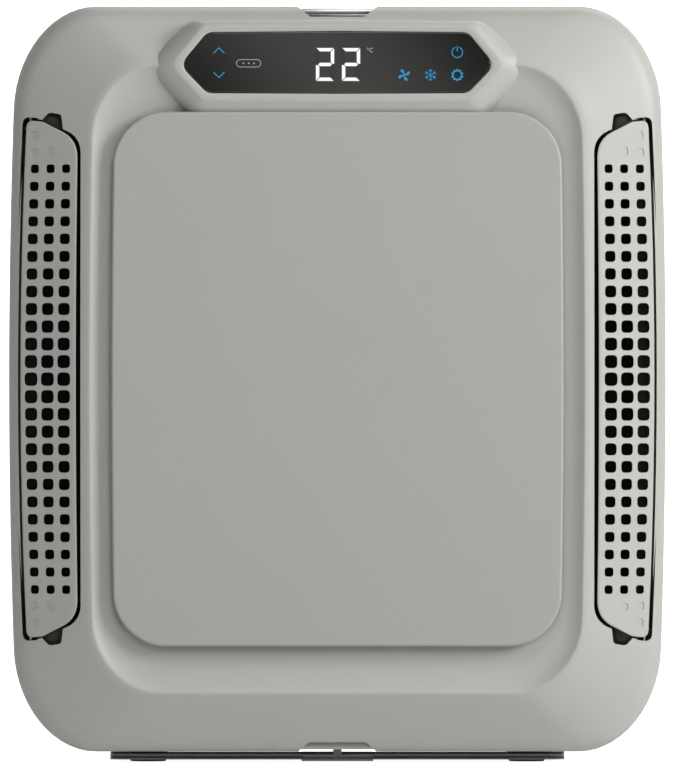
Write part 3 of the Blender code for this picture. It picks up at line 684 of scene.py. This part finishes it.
def outlet_grille(side):
    sign = 1 if side == "right" else -1
    origin = Vector((GRILLE_EDGE_X, GRILLE_EDGE_Y))
    across = Vector((-math.cos(SLOPE), -math.sin(SLOPE)))
    out = Vector((math.sin(SLOPE), -math.cos(SLOPE)))

    def place(x, z, w):
        """A point of the tilted plate under a front-view point, w out of its middle plane."""
        at = origin + across * ((GRILLE_EDGE_X - x) / math.cos(SLOPE)) + out * w
        return (sign * at.x, at.y, z)

    rows = [(2.2, -1.3), (1.5, -1.3), (0.7, -0.3), (0, 0.8), (0.25, 1.1), (0.7, 1.3), (1.0, 1.3)]
    loops = [[place(x, z, w) for x, z in grille_outline(-inset)] for inset, w in rows]
    plate = wrap(f"{side}_grille_plate", loops, caps=True)
    cutters = []
    row_pitch, column_pitch = 11.95, 11.2
    for row in range(25):
        z = SHELL_Z - 0.1 + row_pitch * (row - 12)
        share = 1 - abs(row - 12) / 12
        wide, high = 5.5 + 3.3 * share ** 0.8, 5.9 + 3.3 * share ** 0.8
        for column in range(3):
            x = 208.9 - column_pitch * column
            x -= bow(x, z)
            hole = [(sign * px, -150, pz) for px, pz in rounded_square(x, z, wide, high)]
            cutters.append(solid(f"hole_{row}_{column}", hole, (0, 50, 0)))
    for way in (1, -1):
        for x, drop in ((205.6, 10.0), (206.0, 21.6), (195.2, 20.9)):
            z = SHELL_Z + way * (OPENING_HALF_H - drop)
            spot = [place(px, pz, 1.9) for px, pz in rounded_square(x, z, 5.0, 5.4)]
            back = -out * 1.15
            cutters.append(solid(f"dimple_{way}_{drop}", spot, (sign * back.x, back.y, 0)))
    cut(plate, joined(*cutters))
    edit(plate, lambda: bpy.ops.mesh.remove_doubles(threshold=2e-6), outwards)
    axis = origin + across * 6.0 + out * -5.2
    knuckles = []
    for z in (423.6, 101.2):
        x = sign * axis.x
        near, far = axis.y - 5, axis.y + 2.4
        corners = [(x - 2.6, near), (x + 2.6, near), (x + 2.6, far), (x - 2.6, far)]
        bearer = [(px, py, z - 3) for px, py in rounded(corners, 1.6, 3)]
        knuckles.append(solid(f"knuckle_{z}", bearer, (0, 0, 6)))
    return smooth(joined(plate, *knuckles), 30)


for side_name in ("left", "right"):
    grille = outlet_grille(side_name)
    dress(grille, SHELL_LOOK, f"{side_name}_grille", "shell", f"{side_name}_outlet_grille")


# ---------------------------------------------------------------- pocket liners
# A dark moulded cup behind each finger pocket, with a rounded tab for the fingertip.
def pocket_liner(side, way):
    edge, sign = SHELL_Z + way * OPENING_HALF_H, (1 if side == "right" else -1)
    cup = [(205, -8), (203, 8), (184, 8), (184, -12)]
    tab = [(199.5, -4), (197.2, 3.4), (190, 3.2), (188.6, -9)]
    pieces = []
    for corners, radius, front, back in ((cup, 3, -121.0, -119.8), (tab, 2.4, -122.6, -121.0)):
        outline = rounded([(x, edge + rise * way) for x, rise in corners], radius)
        points = [(sign * x, front, z) for x, z in outline]
        pieces.append(eased(solid("liner", points, (0, back - front, 0)), 0.5))
    made = joined(*pieces)
    made.name = f"pocket_liner_{side}_{'upper' if way > 0 else 'lower'}"
    return smooth(made, 40)


def gap_shade_sheet(side):
    """A flat near-black sheet behind a grille's outer edge: painted shade, standing in for the shadow in the
    gap so that nothing pale shows through.
    """
    sign = 1 if side == "right" else -1
    outline = [(sign * (x - bow(x, z)), z) for x, z in oblong(206.4, 92, 218.6, 433)]
    return smooth(solid(f"gap_shade_sheet_{side}", upright(outline, -112.4), (0, 1.8, 0)), 40)


LINER_LOOK = material("liner_plastic", (0.035, 0.035, 0.031), 0.45, scale=800.0, depth=0.15, wander=0.2)
# Near-black paint for the gap sheets: painted shade in the grille gaps.
GAP_SHADE_LOOK = material("gap_shade_black", (0.004, 0.004, 0.004), 0.9, scale=400.0, depth=0.6, wander=0.4)
for side_name in ("left", "right"):
    # Each gap sheet is painted shade; rubber is only the slot tag passed along.
    dress(gap_shade_sheet(side_name), GAP_SHADE_LOOK, "casing", "rubber")
    for liner_way in (1, -1):
        dress(pocket_liner(side_name, liner_way), LINER_LOOK, "casing", "black_plastic")


# ---------------------------------------------------------------- rear casing
# The back half, a deep tray moulded in a darker grey, screwed to the front shell with a fine gap between.
# Holes take the intake grille, the hose collar, the power inlet and the drain.
def rear_casing():
    half_w, half_h, middle = 222.0, 247.0, 259.0
    profile = [(0, -59.5), (0, 60), (0, 106), (0.6, 112), (2.2, 118), (4.6, 123), (8, 127.6), (12, 130.2)]
    profile += [(14, 130.9), (16, 131.0), (17, 131.0)]
    outer = [(half_w - inset, half_h - inset, y, 50 - 0.4 * inset, 64 - 0.8 * inset) for inset, y in profile]
    inner = [(w - WALL, h - WALL, min(y, 131.0 - WALL), *corner) for w, h, y, *corner in outer]
    loops = [upright(frame_outline(w, h, *corner, 4, middle), y) for w, h, y, *corner in inner[::-1] + outer]
    casing = wrap("rear_casing_moulding", loops, caps=True)
    holes = (
        ("collar_cut", circle(0, 385, 78.6, 96)),
        ("intake_cut", rounded(oblong(-185.4, 57.6, 185.4, 252.4), 4)),
        ("inlet_cut", rounded(oblong(139.6, 288.6, 170.4, 313.4), 2)),
        ("spout_cut", circle(60, 40, 8.4, 40)),
    )
    for name, outline in holes:
        cut(casing, solid(name, upright(outline, 100), (0, 50, 0)))
    return smooth(casing, 30)


CASING_LOOK = material("casing_plastic", (0.42, 0.42, 0.40), 0.52, scale=700.0, depth=0.22, wander=0.04)
dress(rear_casing(), CASING_LOOK, "casing", "casing", "rear_casing")


# ---------------------------------------------------------------- carry handle and stand bail
# Two U-shaped bars of one plan: the upper one lifts for carrying, the lower one folds down as a stand. Each
# is a drawn bar with soft edges and a moulded grip over its middle, and swings on pivots at its arms' ends.
def bail(name, z0, z1, end_y, round_by):
    loops = []
    turns = [math.radians(degrees) for degrees in (0, 22.5, 45, 67.5, 90)]
    rows = [((1 - math.sin(a)) * round_by, z0 + (1 - math.cos(a)) * round_by) for a in turns]
    rows += [(thin, z1 - (z - z0)) for thin, z in rows[::-1]]
    for thin, z in rows:
        half, inner = 156.0 - thin, 149.0 + thin
        front, back, end = -57.0 + thin, -45.0 - thin, end_y - thin
        plan = [(-half, end), (-half, front, 11 - thin), (half, front, 11 - thin), (half, end)]
        plan += [(inner, end), (inner, back, 5 + thin), (-inner, back, 5 + thin), (-inner, end)]
        loops.append([(x, y, z) for x, y in rounded(plan, 2.6 - thin, 8)])
    return wrap(name, loops, caps=True)


def grip(name, side_view, round_by):
    return eased(solid(name, [(-24.6, y, z) for y, z in side_view], (49.2, 0, 0)), round_by, 4, 30)


def banded(name, colour, roughness, metallic):
    """A drawn and lacquered bar: very fine lines along it, and a clear coat."""
    made = material(name, colour, roughness, metallic, scale=500.0, depth=0.05, wander=0.1, coat=0.3)
    nodes, wire = made.node_tree.nodes, made.node_tree.links.new
    pull = nodes.new("ShaderNodeMapping")
    pull.inputs["Scale"].default_value = (0.03, 1.0, 1.0)
    wire(nodes["Texture Coordinate"].outputs["Object"], pull.inputs["Vector"])
    wire(pull.outputs["Vector"], nodes["grain"].inputs["Vector"])
    return made


BAR_LOOK = banded("bail_lacquer", (0.24, 0.235, 0.22), 0.24, 1.0)
GRIP_LOOK = banded("grip_silver", (0.55, 0.55, 0.53), 0.3, 0.55)
cap_side = [(-57.2, 516.3), (-58.1, 514.6), (-57.4, 513.2), (-44.0, 513.2), (-44.0, 516.7), (-55.5, 516.7)]
handle = joined(bail("carry_bar", 507.7, 513.5, 58.0, 1.6), grip("carry_grip", cap_side, 0.6))
dress(smooth(handle, 40), GRIP_LOOK, "handle", "grip", "carry_handle")
insert_side = [(-57.3, 513.1), (-57.3, 509.4), (-52.0, 507.5), (-44.5, 507.5), (-44.5, 513.1)]
insert = grip("carry_grip_insert", insert_side, 0.8)
dress(smooth(insert, 40), BAR_LOOK, "handle", "grip")
stand = joined(
    bail("stand_bar", 2.95, 6.8, 48.0, 1.3),
    grip("stand_grip", [(-58.2, 5.8), (-58.2, 2.3), (-44.0, 2.3), (-44.0, 6.9), (-56.8, 6.9)], 0.7),
)
dress(smooth(stand, 40), BAR_LOOK, "bail", "black_paint", "stand_bail")
# The pale strip under the stand bar and its grip is a painted reflection of the white floor in the bar's
# lower edge.
reflection_strip = joined(
    bail("stand_reflection_strip", 1.6, 2.9, 48.0, 0.5),
    grip("stand_grip_reflection_strip", [(-58.0, 2.25), (-56.6, 0.5), (-44.4, 0.5), (-44.4, 2.25)], 0.5),
)
# Pale grey for that strip: the painted floor reflection.
FLOOR_REFLECTION_LOOK = material("floor_reflection_paint", (0.62, 0.62, 0.60), 0.35, scale=600.0, depth=0.05, wander=0.1)
dress(smooth(reflection_strip, 40), FLOOR_REFLECTION_LOOK, "bail", "grip")


# ---------------------------------------------------------------- bail clip
# A small sprung tongue moulded like the shell, that holds the folded bail by its grip.
tongue_side = oblong(-63.5, 2.5, -60.5, 14.3)
tongue = eased(solid("bail_tongue", [(-2.9, y, z) for y, z in tongue_side], (5.8, 0, 0)), 0.5, 3, 30)
dress(smooth(tongue, 40), SHELL_LOOK, "casing", "shell", "bail_clip")


# ---------------------------------------------------------------- rubber feet
# Four turned rubber feet, slightly tapered, pressed into the base.
def turned_up(name, x, y, profile, steps=48):
    """A shape turned about an upright axis: its profile is (radius, z) from the bottom up."""
    loops = [[(x + px, y + pz, z) for px, pz in circle(0, 0, radius, steps)] for radius, z in profile]
    return wrap(name, loops, caps=True)


RUBBER_LOOK = material("foot_rubber", (0.028, 0.028, 0.028), 0.8, scale=600.0, depth=0.5, wander=0.3)
for level, foot_y in (("front", -32), ("rear", 104)):
    for side, foot_x in (("left", -130), ("right", 130)):
        foot_profile = [(9.5, 0.05), (11.6, 0.05), (12.3, 0.5), (12.5, 1.4), (11.0, 11.5), (10.0, 11.6)]
        foot = smooth(turned_up(f"foot_{level}_{side}", foot_x, foot_y, foot_profile), 40)
        dress(foot, RUBBER_LOOK, "casing", "rubber", f"rubber_foot_{level}_{side}")


# ---------------------------------------------------------------- casing screws
# Zinc-plated pan heads with a cross recess, driven into the rear face.
def casing_screw(name, x, z):
    head = [(3.2, 134.1), (3.7, 133.9), (4.1, 133.2), (4.2, 132.2), (4.2, 131.5), (3.4, 131.5)]
    made = wrap(name, [[(px, y, pz) for px, pz in circle(x, z, radius, 40)] for radius, y in head], caps=True)
    for wide, tall in ((4.2, 0.9), (0.9, 4.2)):
        slot = oblong(x - wide / 2, z - tall / 2, x + wide / 2, z + tall / 2)
        cut(made, solid("recess", upright(slot, 132.9), (0, 3, 0)))
    return smooth(made, 35)


def spangled(name, colour, roughness):
    """Zinc plate: large faint crystals that differ a little in brightness."""
    made = material(name, colour, roughness, 1.0, scale=700.0, depth=0.05, wander=0.1)
    nodes, wire = made.node_tree.nodes, made.node_tree.links.new
    flakes, level = nodes.new("ShaderNodeTexVoronoi"), nodes.new("ShaderNodeMapRange")
    flakes.inputs["Scale"].default_value = 220.0
    level.inputs["To Min"].default_value = roughness - 0.08
    level.inputs["To Max"].default_value = roughness + 0.1
    wire(nodes["Texture Coordinate"].outputs["Object"], flakes.inputs["Vector"])
    wire(flakes.outputs["Color"], level.inputs["Value"])
    wire(level.outputs["Result"], nodes["grain"].inputs["Roughness"])
    return made


ZINC_LOOK = spangled("zinc_plate", (0.58, 0.58, 0.60), 0.34)
for level, screw_z in (("upper", 470), ("lower", 275)):
    for side, screw_x in (("left", -188), ("right", 188)):
        screw = casing_screw(f"screw_{level}_{side}", screw_x, screw_z)
        dress(screw, ZINC_LOOK, "casing", "steel", f"casing_screw_{level}_{side}")


# ---------------------------------------------------------------- hose collar
# The round spigot that the hot-air hose pushes on to: a turned flange against the casing and a thin neck.
def hose_collar():
    wall = [(75.0, 115.2), (77.8, 115.2), (77.8, 131.5), (86.4, 131.5), (87.0, 132.0), (87.0, 133.4)]
    wall += [(86.4, 134.0), (79.2, 134.0), (78.3, 134.5), (78.0, 135.6), (78.0, 145.0), (77.4, 145.9)]
    wall += [(75.6, 145.9), (75.0, 145.2)]
    loops = [[(px, y, pz) for px, pz in circle(0, 385, radius, 128)] for radius, y in wall + wall[:1]]
    return smooth(wrap("hose_spigot", loops), 35)


dress(hose_collar(), CASING_LOOK, "casing", "casing", "exhaust_collar")


# ---------------------------------------------------------------- intake grille
# A flat moulded panel with twelve rows of slots that lets room air into the hot side, snapped into the back.
def intake_grille():
    outline = rounded(oblong(-185, 58, 185, 252), 3.6)
    made = eased(solid("intake_panel", upright(outline, 127.5), (0, 3.0, 0)), 0.6)
    slots = []
    for row in range(12):
        z = 70.5 + 15 * row
        for x in (-136, -46, 44, 134):
            slot = circle(x + 37.5, z, 4.5, 10, -90, 180) + circle(x - 37.5, z, 4.5, 10, 90, 180)
            slots.append(solid("slot", upright(slot, 120), (0, 20, 0)))
    return smooth(cut(made, joined(*slots)), 35)


dress(intake_grille(), CASING_LOOK, "casing", "casing", "intake_grille")


# ---------------------------------------------------------------- power inlet, drain spout and plug
# The inlet is a black moulded socket with three blades. The spout is a grey pipe end with a rubber plug.
def power_inlet():
    outline = rounded(oblong(140, 289, 170, 313), 1.6)
    body = eased(solid("inlet_body", upright(outline, 113), (0, 19.2, 0)), 0.5)
    mouth = [(143, 293.1), (167, 293.1), (167, 305, 1), (162.5, 308.9, 1), (147.5, 308.9, 1), (143, 305, 1)]
    cut(body, solid("mouth", upright(rounded(mouth, 1.5), 117), (0, 30, 0)))
    blades = []
    for x, z in ((149.0, 299), (155.0, 303), (161.0, 299)):
        blade = oblong(x - 0.9, z - 2.2, x + 0.9, z + 2.2)
        blades.append(solid("blade", upright(blade, 116.5), (0, 12, 0)))
    return smooth(body, 35), smooth(joined(*blades), 35)


BLACK_LOOK = material("black_moulding", (0.018, 0.018, 0.018), 0.5, scale=800.0, depth=0.25, wander=0.25)
inlet, inlet_blades = power_inlet()
dress(inlet, BLACK_LOOK, "casing", "black_plastic", "power_inlet")
inlet_blades.name = "inlet_blades"
dress(inlet_blades, ZINC_LOOK, "casing", "steel")


def turned_back(name, x, z, profile, caps, steps=64):
    """A shape turned about an axis that runs to the rear: its profile is (radius, y)."""
    loops = [[(px, y, pz) for px, pz in circle(x, z, radius, steps)] for radius, y in profile]
    return smooth(wrap(name, loops, caps=caps), 35)


spout_wall = [(3.6, 115.1), (7.4, 115.1), (7.4, 131.5), (10.7, 131.5), (11.0, 131.9), (11.0, 133.6)]
spout_wall += [(10.7, 133.9), (6.9, 134.0), (6.4, 134.6), (6.4, 141.6), (6.0, 142.0), (3.9, 142.0)]
spout_wall += [(3.6, 141.7), (3.6, 115.1)]
dress(turned_back("drain_elbow", 60, 40, spout_wall, False), CASING_LOOK, "casing", "casing", "drain_spout")
plug_wall = [(2.4, 134.2), (2.9, 134.6), (2.95, 142.5), (5.6, 142.5), (6.0, 142.9), (6.0, 144.2)]
plug_wall += [(5.5, 144.7), (4.6, 144.75)]
dress(turned_back("drain_stopper", 60, 40, plug_wall, True), RUBBER_LOOK, "plug", "rubber", "drain_plug")


# ---------------------------------------------------------------- inside parts
# Everything inside keeps its CAD shape and takes a real surface: fins, copper, plated steel, moulded
# plastics, solder mask and woven mesh.
def finned():
    """Stacked aluminium fins: hundreds of thin upright lines, the gaps between them darkened with painted
    shade.
    """
    made = material("aluminium_fins", (0.62, 0.64, 0.66), 0.38, 0.9, scale=400.0, depth=0.1, wander=0.08)
    nodes, wire = made.node_tree.nodes, made.node_tree.links.new
    fins, gap_shade, bump = (nodes.new(f"ShaderNode{n}") for n in ("TexWave", "MapRange", "Bump"))
    fins.wave_type, fins.bands_direction = "BANDS", "X"
    fins.inputs["Scale"].default_value = 170.0
    fins.inputs["Distortion"].default_value = 0.4
    # Dark bands between the fins: painted shade in the gaps.
    gap_shade.inputs["To Min"].default_value = 0.25
    wire(nodes["Texture Coordinate"].outputs["Object"], fins.inputs["Vector"])
    wire(fins.outputs["Fac"], gap_shade.inputs["Value"])
    bump.inputs["Distance"].default_value = 0.0006
    wire(fins.outputs["Fac"], bump.inputs["Height"])
    wire(bump.outputs["Normal"], nodes["Principled BSDF"].inputs["Normal"])
    return shaded(made, gap_shade.outputs["Result"])


def tarnished():
    """Drawn copper, a little darker and duller in patches."""
    made = material("drawn_copper", (0.68, 0.34, 0.19), 0.3, 1.0, scale=300.0, depth=0.08, wander=0.5)
    nodes, wire = made.node_tree.nodes, made.node_tree.links.new
    patch, level = nodes.new("ShaderNodeTexNoise"), nodes.new("ShaderNodeMapRange")
    patch.inputs["Scale"].default_value = 45.0
    level.inputs["To Min"].default_value, level.inputs["To Max"].default_value = 0.2, 0.5
    wire(nodes["Texture Coordinate"].outputs["Object"], patch.inputs["Vector"])
    wire(patch.outputs["Fac"], level.inputs["Value"])
    wire(level.outputs["Result"], nodes["grain"].inputs["Roughness"])
    return made


def woven():
    """Fine nylon mesh: two crossed sets of threads, the gaps between them darkened with painted shade."""
    made = material("nylon_mesh", (0.06, 0.06, 0.06), 0.7, scale=900.0, depth=0.1, wander=0.2)
    nodes, wire = made.node_tree.nodes, made.node_tree.links.new
    threads = []
    for way in ("X", "Z"):
        thread = nodes.new("ShaderNodeTexWave")
        thread.bands_direction = way
        thread.inputs["Scale"].default_value = 260.0
        wire(nodes["Texture Coordinate"].outputs["Object"], thread.inputs["Vector"])
        threads.append(thread)
    weave, gap_shade = nodes.new("ShaderNodeMath"), nodes.new("ShaderNodeMapRange")
    weave.operation = "MAXIMUM"
    wire(threads[0].outputs["Fac"], weave.inputs[0])
    wire(threads[1].outputs["Fac"], weave.inputs[1])
    wire(weave.outputs[0], gap_shade.inputs["Value"])
    # Where no thread lies the colour drops: painted shade in the gaps of the mesh.
    gap_shade.inputs["To Min"].default_value, gap_shade.inputs["To Max"].default_value = 0.1, 1.3
    return shaded(made, gap_shade.outputs["Result"])


def solder_mask():
    """A green circuit board with faint tracks under the mask."""
    made = material("solder_mask", (0.03, 0.16, 0.07), 0.35, scale=200.0, depth=0.1, wander=0.2, coat=0.2)
    nodes, wire = made.node_tree.nodes, made.node_tree.links.new
    tracks, bump = nodes.new("ShaderNodeTexBrick"), nodes.new("ShaderNodeBump")
    tracks.inputs["Scale"].default_value = 90.0
    wire(nodes["Texture Coordinate"].outputs["Object"], tracks.inputs["Vector"])
    bump.inputs["Distance"].default_value = 0.0002
    wire(tracks.outputs["Fac"], bump.inputs["Height"])
    wire(bump.outputs["Normal"], nodes["Principled BSDF"].inputs["Normal"])
    return made


WHITE_LOOK = material("white_moulding", (0.72, 0.72, 0.70), 0.5, scale=700.0, depth=0.15, wander=0.06)
DUCT_LOOK = material("duct_black", (0.005, 0.005, 0.005), 0.75, scale=500.0, depth=0.3, wander=0.4)
ENAMEL_LOOK = material(
    "black_enamel", (0.016, 0.016, 0.016), 0.28, scale=260.0, depth=0.12, wander=0.2, coat=0.5
)
pins = [f"{side}_grille_pin_{level}" for side in ("left", "right") for level in ("upper", "lower")]
inside = {
    finned(): ("fins", "evaporator_coil", "condenser_coil"),
    tarnished(): (
        "copper", "suction_line", "discharge_line", "liquid_line", "filter_drier", "capillary_tube",
    ),
    woven(): ("filter_mesh", "filter_mesh"),
    solder_mask(): ("circuit_board", "display_board"),
    ZINC_LOOK: (
        "steel", "evaporator_fan_motor", "condenser_fan_motor", "motor_bracket", "base_pan", *pins,
        "handle_pivot_left", "handle_pivot_right",
    ),
    WHITE_LOOK: (
        "white_plastic", "filter_frame", "condensate_tray", "evaporator_fan", "bulkhead",
        "condenser_fan_shroud", "electronics_box",
    ),
    DUCT_LOOK: ("black_plastic", "left_outlet_duct", "right_outlet_duct"),
    BLACK_LOOK: ("black_plastic", "blower_housing", "condenser_fan", "bail_pivot_left", "bail_pivot_right"),
    ENAMEL_LOOK: ("black_paint", "compressor"),
    RUBBER_LOOK: (
        "rubber", "compressor_grommet_left", "compressor_grommet_front", "compressor_grommet_rear",
        "condensate_hose",
    ),
}
for look, (slot, *names) in inside.items():
    for name in names:
        kept = frame["nodes"][name]
        kept.data.materials.clear()
        kept.data.materials.append(look)


# ---------------------------------------------------------------- studio
# A pale floor that curves up into the backdrop, a large soft light on the right, one in front, one above
# and a weak one behind. The paper is clear from its far side, so the machine can be looked at from there.
def studio():
    sweep = [(-9.0, 0.0), (1.2, 0.0)]
    for step in range(1, 13):
        angle = math.pi / 2 * step / 12
        sweep.append((1.2 + 0.9 * math.sin(angle), 0.9 - 0.9 * math.cos(angle)))
    sweep.append((2.1, 5.0))
    bpy.ops.object.select_all(action="DESELECT")
    bpy.ops.mesh.primitive_grid_add(x_subdivisions=1, y_subdivisions=len(sweep) - 1, size=1)
    floor = bpy.context.object
    floor.name = "studio_floor"
    places = [c for y, z in sweep for x in (-7.0, 7.0) for c in (x, y, z - 0.0002)]
    floor.data.vertices.foreach_set("co", places)
    smooth(floor, 60)
    look = material("studio_paper", (0.86, 0.86, 0.86), 0.8, scale=300.0, depth=0.02, wander=0.01)
    shader = look.node_tree.nodes["Principled BSDF"]
    nodes, wire = look.node_tree.nodes, look.node_tree.links.new
    kinds = ("LightPath", "MapRange", "NewGeometry", "BsdfTransparent", "MixShader")
    path, level, behind, clear, pick = (nodes.new(f"ShaderNode{kind}") for kind in kinds)
    level.inputs["To Min"].default_value = 0.10
    level.inputs["To Max"].default_value = 0.92
    wire(path.outputs["Is Camera Ray"], level.inputs["Value"])
    wire(level.outputs["Result"], shader.inputs["Emission Strength"])
    shader.inputs["Emission Color"].default_value = (1.0, 1.0, 1.0, 1.0)
    shader.inputs["Specular IOR Level"].default_value = 0.1
    wire(behind.outputs["Backfacing"], pick.inputs["Fac"])
    wire(shader.outputs["BSDF"], pick.inputs[1])
    wire(clear.outputs["BSDF"], pick.inputs[2])
    wire(pick.outputs["Shader"], nodes["Material Output"].inputs["Surface"])
    floor.data.materials.append(look)

    def soft_light(name, place, wide, high, watts, aim=(0, -0.1, 0.26)):
        data = bpy.data.lights.new(name, "AREA")
        data.shape, data.size, data.size_y, data.energy = "RECTANGLE", wide, high, watts
        lamp = bpy.data.objects.new(name, data)
        lamp.location = place
        lamp.rotation_euler = (Vector(aim) - Vector(place)).to_track_quat("-Z", "Y").to_euler()
        bpy.context.scene.collection.objects.link(lamp)

    soft_light("key", (2.45, -1.45, 1.30), 1.3, 1.2, 64)
    soft_light("front", (1.0, -6.0, 2.6), 2.6, 1.6, 51)
    soft_light("top", (0.2, -1.9, 2.9), 1.4, 1.0, 26)
    soft_light("rear_fill", (0.6, 1.6, 2.6), 1.6, 1.0, 14)

    world = bpy.data.worlds.new("studio_air")
    world.use_nodes = True
    air = world.node_tree.nodes["Background"]
    air.inputs["Color"].default_value = (1.0, 1.0, 1.0, 1.0)
    air.inputs["Strength"].default_value = 0.12
    bpy.context.scene.world = world
    bpy.context.scene.view_settings.view_transform = "Standard"

    eye = bpy.data.cameras.new("camera")
    eye.lens, eye.sensor_width, eye.clip_end = 823.6, 36.0, 60.0
    camera = bpy.data.objects.new("camera", eye)
    camera.location = (-0.0006, -12.105, 0.2591)
    camera.rotation_euler = (math.pi / 2, 0, 0)
    bpy.context.scene.collection.objects.link(camera)
    bpy.context.scene.camera = camera


studio()
